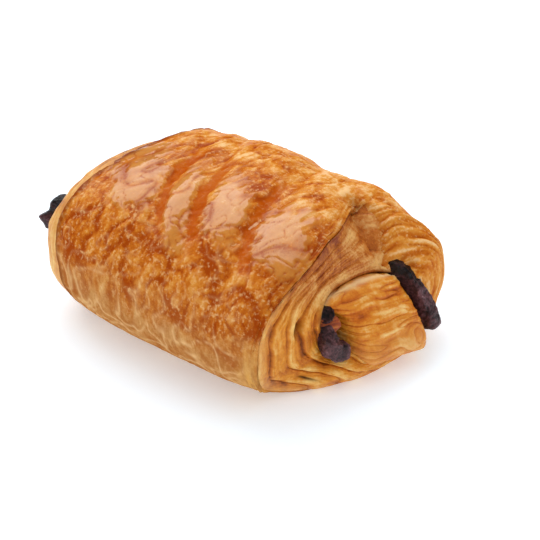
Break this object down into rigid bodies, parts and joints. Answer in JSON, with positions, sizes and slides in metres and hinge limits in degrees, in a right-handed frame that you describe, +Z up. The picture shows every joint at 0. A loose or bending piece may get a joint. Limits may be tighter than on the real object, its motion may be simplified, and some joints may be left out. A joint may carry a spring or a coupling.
{
  "type": "pain au chocolat",
  "caption": "Baked roll of laminated dough with a glazed crust, open layered ends and chocolate batons running through it.",
  "frame": {"origin": "centre of the bounding box in X and Y, on the flat underside that it rests on", "axes": "+X along the roll towards the open, sloping end where both batons show; +Y across the roll towards the side with the rounded lobe; +Z up"},
  "size_m": [0.1224, 0.088, 0.0475],
  "materials": {
    "pastry": "egg-washed golden crust, glossy on top, matt and paler where the layers are cut",
    "baton_front": "dark baked chocolate, dull and slightly waxy",
    "baton_back": "dark baked chocolate, dull and slightly waxy"
  },
  "bodies": {
    "root": {"pastry": "pastry", "baton_front": "baton_front", "baton_back": "baton_back"}
  },
  "joints": []
}
